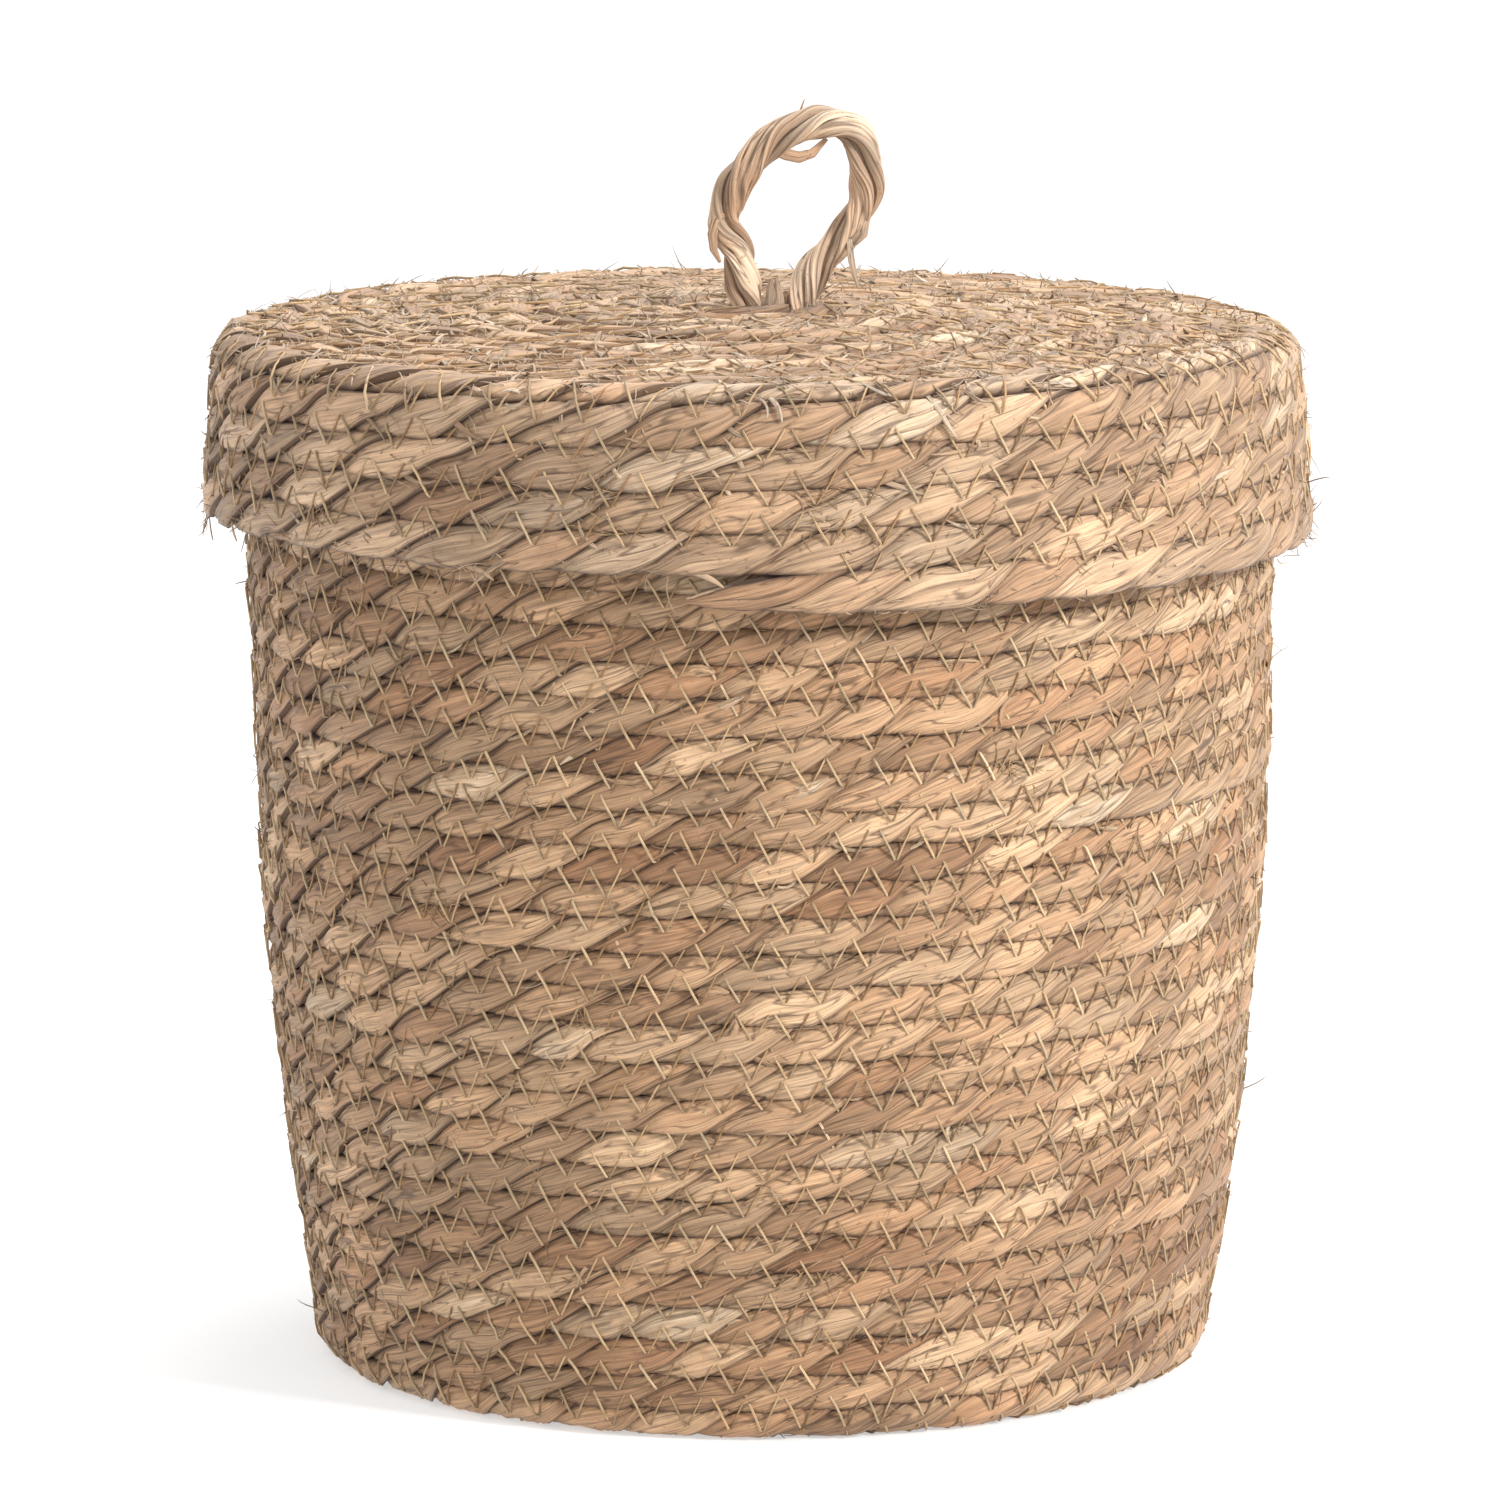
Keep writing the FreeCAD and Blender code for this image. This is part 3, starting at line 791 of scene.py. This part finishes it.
# ---- frayed fibres, torn leaf ends and fuzzy thread ends ----
def wisps(name, profile, first, last, count, length, width, thick, lift, seed, material, body_name,
          low_tint=0.2, high_tint=1.0, places=None):
    """Loose fibres that start on the braid, run roughly along its leaves and stand off it a little.

    length is the shortest and longest; width and thick are half sizes; lift is how far the tips stand off.
    """
    r = np.random.default_rng(seed)
    if places is None:
        turns = np.linspace(first, last, 2000)
        run = profile.length_to(turns)
        start = np.interp(r.uniform(run[0], run[-1], count), run, turns)
        across0 = r.uniform(-0.5, 0.5, count) * profile.pitch
        heading = r.normal(0.30, 0.45, count) + np.where(r.uniform(size=count) < 0.5, 0, math.pi)
    else:
        start, across0, heading = places
        count = len(start)
    size = r.uniform(length[0], length[1], count) * (0.5 + 0.5 * r.uniform(size=count))
    bend = r.normal(0, 0.9, count)
    rise = lift * r.uniform(0, 1, count) ** 2
    u = np.linspace(0, 1, 6)[None, :]
    angle = heading[:, None] + bend[:, None] * (u - 0.3)
    along = np.cumsum(np.cos(angle), 1) / 6 * size[:, None]
    across = across0[:, None] + np.cumsum(np.sin(angle), 1) / 6 * size[:, None] * profile.spin
    radius = np.maximum(profile.at(start * profile.pitch)[0], 0.02)[:, None]
    turn = start[:, None] + along / (TAU * radius)
    curl = r.normal(0, 0.25, count)[:, None] * lift
    out = 0.0031 + 0.0009 * u + rise[:, None] * u ** 1.6 + curl * np.sin(math.pi * u) * u
    paths = profile.place(turn, across + course_drift(start)[:, None], out, profile.spin)
    facing = profile.place(turn, across, out + 0.001, profile.spin)
    facing = facing - profile.place(turn, across, out, profile.spin)
    far = np.linalg.norm(facing, axis=2, keepdims=True)
    facing = np.where(far > 1e-6, facing / np.maximum(far, 1e-6), (0.0, 0.0, 1.0))
    taper = np.array([0.8, 1.0, 1.0, 0.9, 0.65, 0.25])[None, :]
    w = (width * r.uniform(0.6, 1.3, count))[:, None] * taper
    t = np.minimum(thick, w)
    obj = many_tubes(name, paths, w, t, 4, r.uniform(low_tint, high_tint, count), facing)
    return finish_piece(obj, material, [], body_name)


wisps("body_fray", body, FLOOR_TURNS + 0.5, BODY_TURNS - 0.3, 2300, (0.004, 0.016), 0.00024, 0.0002, 0.0034,
      21, straw_body, "basket", 0.0, 1.0)
wisps("body_leaf_ends", body, FLOOR_TURNS + 0.5, BODY_TURNS - 0.3, 560, (0.008, 0.026), 0.00110, 0.0002,
      0.0016, 22, straw_body, "basket")
wisps("lid_fray", lid, LID_TURNS - 0.5, LID_ALL_TURNS - 0.1, 1200, (0.004, 0.018), 0.00024, 0.0002, 0.0038,
      23, straw_lid, "lid", 0.0, 1.0)
wisps("lid_leaf_ends", lid, LID_TURNS, LID_ALL_TURNS - 0.3, 200, (0.010, 0.030), 0.0013, 0.0002, 0.0018,
      24, straw_lid, "lid")
wisps("lid_top_fray", lid, 0.6, LID_TURNS + 0.4, 3400, (0.004, 0.018), 0.00032, 0.0002, 0.0040,
      25, straw_mat, "lid", 0.0, 1.0)
wisps("lid_top_leaf_ends", lid, 1.0, LID_TURNS + 0.4, 900, (0.008, 0.024), 0.0013, 0.0002, 0.0030,
      26, straw_mat, "lid", 0.0, 0.9)

# ragged fibres along the skirt's lower edge
EDGE_FIBRES = 360
edge = np.random.default_rng(40)
edge_places = (edge.uniform(LID_ALL_TURNS - 1, LID_ALL_TURNS - 0.03, EDGE_FIBRES),
               LID_PITCH * edge.uniform(0.28, 0.50, EDGE_FIBRES), edge.uniform(0, TAU, EDGE_FIBRES))
wisps("skirt_edge_fray", lid, 0, 1, 1, (0.006, 0.022), 0.00028, 0.0002, 0.0050, 41, straw_lid, "lid",
      0.1, 1.0, edge_places)


# leaf ends where a new leaf was laid in, one in most courses, and long stray fibres
splice_turns = np.arange(FLOOR_TURNS + 2, BODY_TURNS - 2)
spots = np.arange(len(splice_turns))
splices = (splice_turns + 0.48 + 0.03 * wave(spots, 0.7, 70), BODY_PITCH * 0.22 * wave(spots, 0.8, 71),
           0.30 + 0.35 * wave(spots, 0.6, 72))
wisps("body_splices", body, 0, 1, 1, (0.014, 0.026), 0.0033, 0.00025, 0.0018, 33, straw_body, "basket",
      0.4, 1.0, splices)
wisps("body_stray", body, FLOOR_TURNS + 1, BODY_TURNS - 1, 130, (0.012, 0.030), 0.00026, 0.00022, 0.0100,
      27, straw_body, "basket", 0.0, 0.8)
wisps("lid_stray", lid, LID_TURNS - 1, LID_ALL_TURNS - 0.3, 90, (0.012, 0.030), 0.00028, 0.00022, 0.0100,
      28, straw_lid, "lid", 0.0, 0.9)


def thread_tufts(name, profile, spots, body_name, seed):
    """Fuzzy knots where one length of thread ends and the next begins."""
    r = np.random.default_rng(seed)
    start, across, heading = [], [], []
    by_height = np.argsort(profile.points[:, 1])
    for angle, height in spots:
        level = np.interp(height, profile.points[by_height, 1], profile.sigma[by_height])
        turn = level / profile.pitch
        share = (math.radians(angle) - profile.start) / (profile.spin * TAU)
        turn = math.floor(turn - share) + share
        for _ in range(22):
            start.append(turn + r.normal(0, 0.004))
            across.append(profile.pitch * 0.5 + r.normal(0, 0.003))
            heading.append(r.uniform(0, TAU))
    places = (np.array(start), np.array(across), np.array(heading))
    return wisps(name, profile, 0, 1, 1, (0.006, 0.018), 0.00026, 0.00024, 0.0042, seed, thread, body_name,
                 0.25, 0.8, places)


BODY_SPOTS = [(-47, 0.11), (-62, 0.25), (-110, 0.16), (-128, 0.20), (-84, 0.06), (-140, 0.31), (-30, 0.29),
              (-75, 0.345), (60, 0.10), (140, 0.22), (100, 0.3), (20, 0.17), (175, 0.14)]
thread_tufts("body_thread_tufts", body, BODY_SPOTS, "basket", 31)
LID_SPOTS = [(-82, 0.352), (-106, 0.362), (-104, 0.346), (-50, 0.352), (-140, 0.345), (30, 0.35), (110, 0.36),
             (170, 0.35)]
thread_tufts("lid_thread_tufts", lid, LID_SPOTS, "lid", 32)


# ---- stage: floor, lights, camera ----
def stage_floor():
    mesh = bpy.data.meshes.new("floor")
    mesh.from_pydata([(-20, -20, 0), (20, -20, 0), (20, 30, 0), (-20, 30, 0)], [], [(0, 1, 2, 3)])
    floor = bpy.data.objects.new("floor", mesh)
    bpy.context.collection.objects.link(floor)
    mat = bpy.data.materials.new("floor_white")
    mat.use_nodes = True
    bsdf = mat.node_tree.nodes["Principled BSDF"]
    bsdf.inputs["Base Color"].default_value = (0.50, 0.50, 0.50, 1)
    bsdf.inputs["Roughness"].default_value = 0.9
    bsdf.inputs["Emission Color"].default_value = (1, 1, 1, 1)
    bsdf.inputs["Emission Strength"].default_value = 0.50
    mesh.materials.append(mat)
    floor.location.z = -0.0005


def area_light(name, where, target, size, power, colour=(1, 1, 1)):
    data = bpy.data.lights.new(name, "AREA")
    data.size = size
    data.energy = power
    data.color = colour
    lamp = bpy.data.objects.new(name, data)
    bpy.context.collection.objects.link(lamp)
    lamp.location = where
    lamp.rotation_euler = (Vector(target) - Vector(where)).to_track_quat("-Z", "Y").to_euler()


stage_floor()
bpy.context.scene.view_settings.view_transform = "Standard"
world = bpy.data.worlds.new("studio")
bpy.context.scene.world = world
world.use_nodes = True
world.node_tree.nodes["Background"].inputs[0].default_value = (1, 1, 1, 1)
world.node_tree.nodes["Background"].inputs[1].default_value = 1.10
area_light("key", (2.5, -1.7, 1.8), (0, 0, 0.2), 0.45, 112, (1, 0.99, 0.97))
area_light("above", (0.2, 0.5, 2.6), (0, 0, 0.4), 1.0, 36)

CAMERA_DISTANCE = 3.3
CAMERA_HEIGHT = 0.778
CAMERA_PITCH = 0.1644
PIXEL_FOCAL = 8695
camera_data = bpy.data.cameras.new("camera")
camera_data.sensor_width = 36
camera_data.lens = PIXEL_FOCAL / 1500 * 36
camera_data.shift_x = -7 / 1500
camera = bpy.data.objects.new("camera", camera_data)
bpy.context.collection.objects.link(camera)
camera.location = (0, -CAMERA_DISTANCE, CAMERA_HEIGHT)
camera.rotation_euler = (math.pi / 2 - CAMERA_PITCH, 0, 0)
bpy.context.scene.camera = camera
